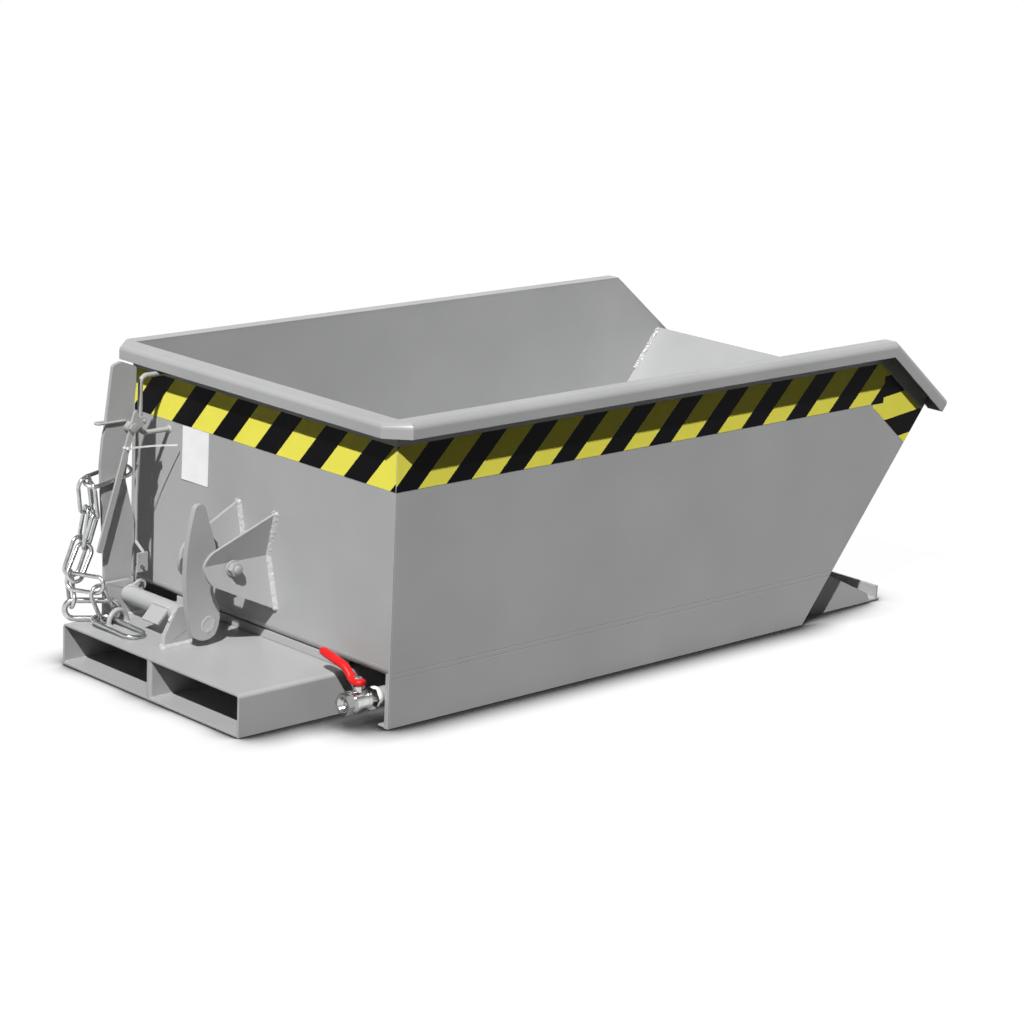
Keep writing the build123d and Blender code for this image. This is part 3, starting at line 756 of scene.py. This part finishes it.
# sealing tape wound on the pipe thread: radius and place along the pipe
sealLook = {"x": 300, "uneven": 0.05, "grain": 150,
            "profile": ((0.0213, 0.0002), (0.0240, 0.0006), (0.0252, 0.0022), (0.0246, 0.0042), (0.0254, 0.0064),
                        (0.0245, 0.0086), (0.0250, 0.0106), (0.0240, 0.0126), (0.0228, 0.0142), (0.0213, 0.015))}


def sealShell(look):
    middle = at(look["x"], valveAxis["y"], valveAxis["z"])
    verts, faces = turned(look["profile"], middle, (1, 0, 0))
    wound = []
    for v in verts:
        spoke = Vector((0, v.y - middle.y, v.z - middle.z))
        wound.append(v + spoke * look["uneven"] * noise.noise(v * look["grain"]))
    return wound, faces


makePiece("pipe_sealing_tape", *sealShell(sealLook), whitePlastic, "hopper", "white_card", sharp=70)

# the thread inside the open valve end: a grooved sleeve with a thin skin
outletLook = {"x": 212.6, "radius": 0.0178, "length": 0.018, "pitch": 0.0023, "lead": 0.0006, "depth": 0.0008,
              "seat": 0.0004, "skin": 0.0006, "steps": 56}


def innerThread(look):
    radius, along = look["radius"], look["lead"]
    profile = [(radius + look["seat"], 0.0)]
    while along < look["length"]:
        profile += [(radius - look["depth"], along), (radius, along + look["pitch"] / 2)]
        along += look["pitch"]
    profile += [(radius + look["seat"], along), (radius + look["skin"], along), (radius + look["skin"], 0.0)]
    mouth = at(look["x"], valveAxis["y"], valveAxis["z"])
    verts = turned(profile, mouth, (1, 0, 0), look["steps"])[0]
    return verts, bandFaces(len(profile), look["steps"], closed=True)


makePiece("valve_outlet_thread", *innerThread(outletLook), nickelBrass, "hopper", "chrome_brass", sharp=30)
print("valve dressed")

# blank card on the rear wall, bowed a little off it
cardLook = {"y": (182, 281), "z": (416, 546), "thick": 0.35, "cells": (16, 20), "bow": 1.8, "bowSides": (0.35, 0.65),
            "wave": 0.35, "waves": 3, "noiseLayer": 7, "gap": 0.3, "leastGap": 0.15}


def cardShell(look):
    nu, nv = look["cells"]
    (y0, y1), (z0, z1), (near, far) = look["y"], look["z"], look["bowSides"]
    front, rear = [], []
    for j in range(nv + 1):
        for i in range(nu + 1):
            u, v = i / nu, j / nv
            wave = look["wave"] * noise.noise(Vector((u * look["waves"], v * look["waves"], look["noiseLayer"])))
            lift = look["bow"] * (1 - v) ** 2 * (near + far * u * u) + wave
            lift = max(look["leastGap"], lift + look["gap"])
            y, z = y0 + (y1 - y0) * u, z0 + (z1 - z0) * v
            front.append(at(wallFace - lift - look["thick"], y, z))
            rear.append(at(wallFace - lift, y, z))
    row = nu + 1
    count = len(front)
    faces = []
    for j in range(nv):
        for i in range(nu):
            a = j * row + i
            faces.append((a, a + row, a + row + 1, a + 1))
            faces.append((count + a, count + a + 1, count + a + row + 1, count + a + row))
    border = [i for i in range(row)] + [j * row + nu for j in range(1, nv + 1)]
    border += [nv * row + i for i in range(nu - 1, -1, -1)] + [j * row for j in range(nv - 1, 0, -1)]
    for a, b in zip(border, border[1:] + border[:1]):
        faces.append((a, b, count + b, count + a))
    return front + rear, faces


card = makePiece("paper_card_bowed", *cardShell(cardLook), whiteCard, "hopper", "white_card")
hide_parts("paper_card")

# tie around the leaning lever, its tail reaching towards the card
tieLook = {"wide": 2.0, "thick": 0.65, "leverX": 156.0, "leverZ": 505, "leverRun": (101, 326),
           "loop": ((-8.6, 297.2), (8.6, 297.2), (8.6, 304.8), (-8.6, 304.8)), "loopStep": 0.002,
           "headY": 295.8, "head": ((-4.0, 0.0028, 0.0012), (-3.6, 0.0034, 0.0016), (3.6, 0.0034, 0.0016),
                                    (4.0, 0.0028, 0.0012)),
           "tail": ((152, 296.6, 505.5), (162, 295.4, 505.5), (190, 294.0, 505), (225, 291, 503.8),
                    (260, 286, 501.5), (289, 281.6, 499.2)), "tailSteps": 40}


def tieShell(look):
    tilt = math.atan2(*look["leverRun"])
    leverAlong = (math.sin(tilt), 0.0, math.cos(tilt))
    strip = [(-1, -1), (1, -1), (1, 1), (-1, 1)]
    size = (look["wide"] / 1000, look["thick"] / 1000)

    def onLever(across, y):
        return at(look["leverX"] + across * math.cos(tilt), y, look["leverZ"] - across * math.sin(tilt))

    loopPath = evenPath([onLever(across, y) for across, y in look["loop"]], look["loopStep"], closed=True)
    loop = sweep(loopPath, strip, [size] * len(loopPath), closed=True, hint=leverAlong)
    tailPath = [at(*smoothRun(look["tail"], i / look["tailSteps"])) for i in range(look["tailSteps"] + 1)]
    tail = sweep(tailPath, strip, [size] * len(tailPath))
    headPath = [onLever(across, look["headY"]) for across, wide, thick in look["head"]]
    head = sweep(headPath, strip, [(wide, thick) for across, wide, thick in look["head"]], hint=leverAlong)
    return joined(loop, tail, head)


tie = makePiece("cable_tie_strap", *tieShell(tieLook), whitePlastic, "lever", "white_tie", sharp=50)
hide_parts("cable_tie")
print("small pieces placed")

# floor, world and lamps
stageLook = {"floorHalf": 14.0, "floorZ": -0.001, "floorBounce": 0.05, "floorShade": 0.018, "floorGlow": 0.985,
             "contactReach": 0.115, "contactSamples": 16, "contactFrom": 0.56, "contactTo": 0.98, "contactGlow": 0.02,
             "ambient": 0.05, "skyLow": 1.0, "skyHigh": 0.22, "skyFrom": 0.18, "skyTo": 0.62,
             "sun": 4.7, "sunAngle": 1.2, "sunTravel": (1.0, 0.674, -1.39),
             "frontFill": 200.0, "fillSize": 3.0, "fillPlace": (4.2, 4.0, 1.0), "fillTarget": (0, 0, 0.4)}


# rays that see the white surroundings: the camera's, and those of gloss and glass
def seenRays(owner):
    rays = put(owner, "LightPath").outputs
    seen = calc(owner, "MAXIMUM", rays["Is Camera Ray"], rays["Is Glossy Ray"])
    return calc(owner, "MAXIMUM", seen, rays["Is Transmission Ray"])


def makeFloor(look):
    half, z = look["floorHalf"], look["floorZ"]
    mesh = bpy.data.meshes.new("floor")
    mesh.from_pydata([(-half, -half, z), (half, -half, z), (half, half, z), (-half, half, z)], [], [(0, 1, 2, 3)])
    floor = bpy.data.objects.new("floor", mesh)
    scene.collection.objects.link(floor)
    mat = bpy.data.materials.new("floor")
    mat.use_nodes = True
    floorNodes = mat.node_tree.nodes
    floorNodes.remove(floorNodes["Principled BSDF"])
    bounce = put(mat, "BsdfDiffuse", Color=(look["floorBounce"],) * 3)
    pale = put(mat, "BsdfDiffuse", Color=(look["floorShade"],) * 3)
    # painted contact shadow: the white glow of the floor fades to dark where the object stands close over it
    near = put(mat, "AmbientOcclusion", Distance=look["contactReach"], samples=look["contactSamples"])
    levels = [look[key] for key in ("contactGlow", "floorGlow", "contactFrom", "contactTo")]
    glow = put(mat, "Emission", Strength=spread(mat, near.outputs["AO"], *levels))
    both = put(mat, "AddShader")
    choose = put(mat, "MixShader")
    for socket, value in ((both.inputs[0], pale.outputs[0]), (both.inputs[1], glow.outputs[0]),
                          (choose.inputs[0], seenRays(mat)), (choose.inputs[1], bounce.outputs[0]),
                          (choose.inputs[2], both.outputs[0]),
                          (floorNodes["Material Output"].inputs["Surface"], choose.outputs[0])):
        feed(mat, socket, value)
    mesh.materials.append(mat)


def makeWorld(look):
    world = bpy.data.worlds.new("studio")
    scene.world = world
    world.use_nodes = True
    background = world.node_tree.nodes["Background"]
    background.inputs["Color"].default_value = (1, 1, 1, 1)
    # white around the horizon, as the backdrop is seen, and a dimmer ceiling for the gloss
    upward = put(world, "SeparateXYZ", Vector=put(world, "TexCoord").outputs["Generated"]).outputs["Z"]
    sky = spread(world, upward, look["skyLow"], look["skyHigh"], look["skyFrom"], look["skyTo"])
    feed(world, background.inputs["Strength"], spread(world, seenRays(world), look["ambient"], sky))


def addLamp(name, kind, energy):
    data = bpy.data.lights.new(name, kind)
    data.energy = energy
    lamp = bpy.data.objects.new(name, data)
    scene.collection.objects.link(lamp)
    return lamp, data


def makeLamps(look):
    sun, sunData = addLamp("sun", "SUN", look["sun"])
    sunData.angle = math.radians(look["sunAngle"])
    sun.rotation_euler = Vector(look["sunTravel"]).to_track_quat("-Z", "Y").to_euler()
    fill, fillData = addLamp("front_fill", "AREA", look["frontFill"])
    fillData.size = look["fillSize"]
    fill.location = look["fillPlace"]
    fill.rotation_euler = (Vector(look["fillTarget"]) - fill.location).to_track_quat("-Z", "Y").to_euler()
    fill.visible_glossy = False


makeFloor(stageLook)
makeWorld(stageLook)
makeLamps(stageLook)
print("stage and lamps set")
